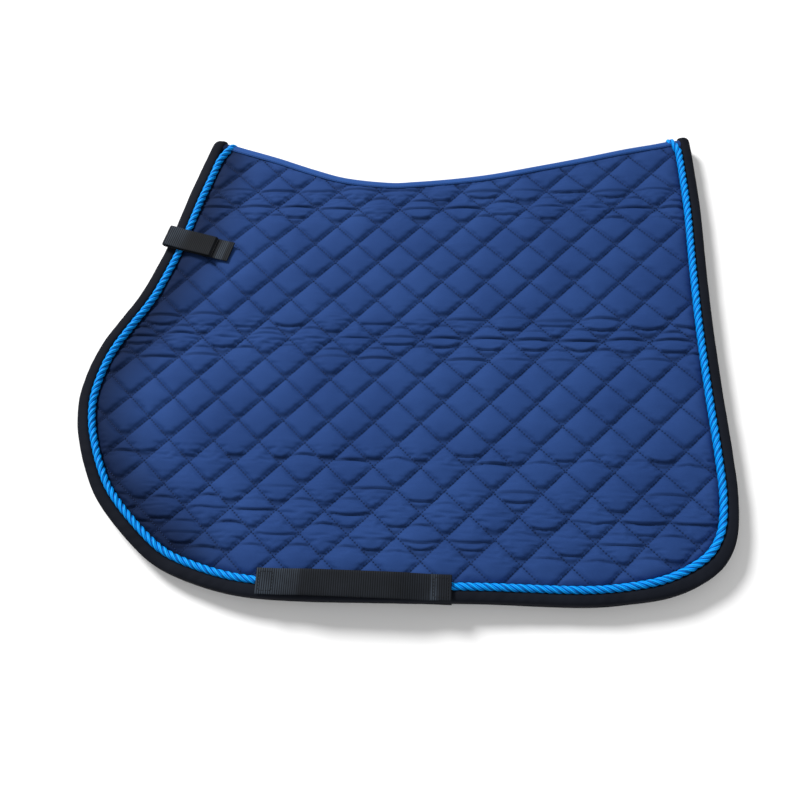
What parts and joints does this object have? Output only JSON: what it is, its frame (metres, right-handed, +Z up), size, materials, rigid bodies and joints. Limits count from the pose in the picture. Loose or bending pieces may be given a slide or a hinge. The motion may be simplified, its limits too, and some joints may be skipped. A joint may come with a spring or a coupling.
{
  "type": "saddle pad",
  "caption": "Quilted saddle pad with a shaped spine, rope and binding trim, girth keepers and front tabs, folded double along the spine.",
  "frame": {"origin": "under the middle of the folded pad, on the surface that it lies on", "axes": "+X from the front edge to the rear edge, +Y from the girth edge to the spine, +Z up; the right flap is underneath and the left flap on top"},
  "size_m": [0.6801, 0.5448, 0.0357],
  "materials": {
    "cover_cotton": "matt quilted cotton twill, royal blue",
    "lining_cotton": "matt plain cotton, blue",
    "wadding": "white polyester wadding",
    "binding_tape": "matt woven tape, blue-black",
    "rope_trim": "twisted satin rope, bright blue",
    "spine_tape": "smooth woven tape, mid blue",
    "webbing": "ribbed nylon webbing, black",
    "hook_tape": "hook side of hook-and-loop tape, black",
    "loop_tape": "loop side of hook-and-loop tape, black"
  },
  "bodies": {
    "right_flap": {"right_cover": "cover_cotton", "right_wadding": "wadding", "right_lining": "lining_cotton", "left_cover_top": "cover_cotton", "left_wadding_top": "wadding", "left_lining_top": "lining_cotton", "edge_binding": "binding_tape", "rope_trim": "rope_trim", "spine_tape": "spine_tape", "spine_seam": "lining_cotton", "right_girth_keeper": "webbing", "right_keeper_patch": "webbing", "right_tab_base": "webbing", "right_loop_patch": "loop_tape"},
    "left_flap": {"left_cover": "cover_cotton", "left_wadding": "wadding", "left_lining": "lining_cotton", "left_binding": "binding_tape", "left_rope_trim": "rope_trim", "left_girth_keeper": "webbing", "left_keeper_patch": "webbing", "left_tab_base": "webbing", "left_loop_patch": "loop_tape"},
    "left_tab": {"left_tab_strap": "webbing", "left_hook_patch": "hook_tape"},
    "right_tab": {"right_tab_strap": "webbing", "right_hook_patch": "hook_tape"}
  },
  "joints": [
    {"name": "spine_fold", "type": "hinge", "parent": "right_flap", "child": "left_flap", "pos_m": [0, 0.1805, 0.0357], "axis": [-1, 0, 0], "range_deg": [0, 179.9]},
    {"name": "left_tab_peel", "type": "hinge", "parent": "left_flap", "child": "left_tab", "pos_m": [-0.26702, 0.1281, 0.0321], "axis": [-0.2504, -0.9681, 0], "range_deg": [0, 179.9]},
    {"name": "right_tab_peel", "type": "hinge", "parent": "right_flap", "child": "right_tab", "pos_m": [-0.26702, 0.1281, 0.0036], "axis": [0.2504, 0.9681, 0], "range_deg": [0, 179.9]}
  ]
}
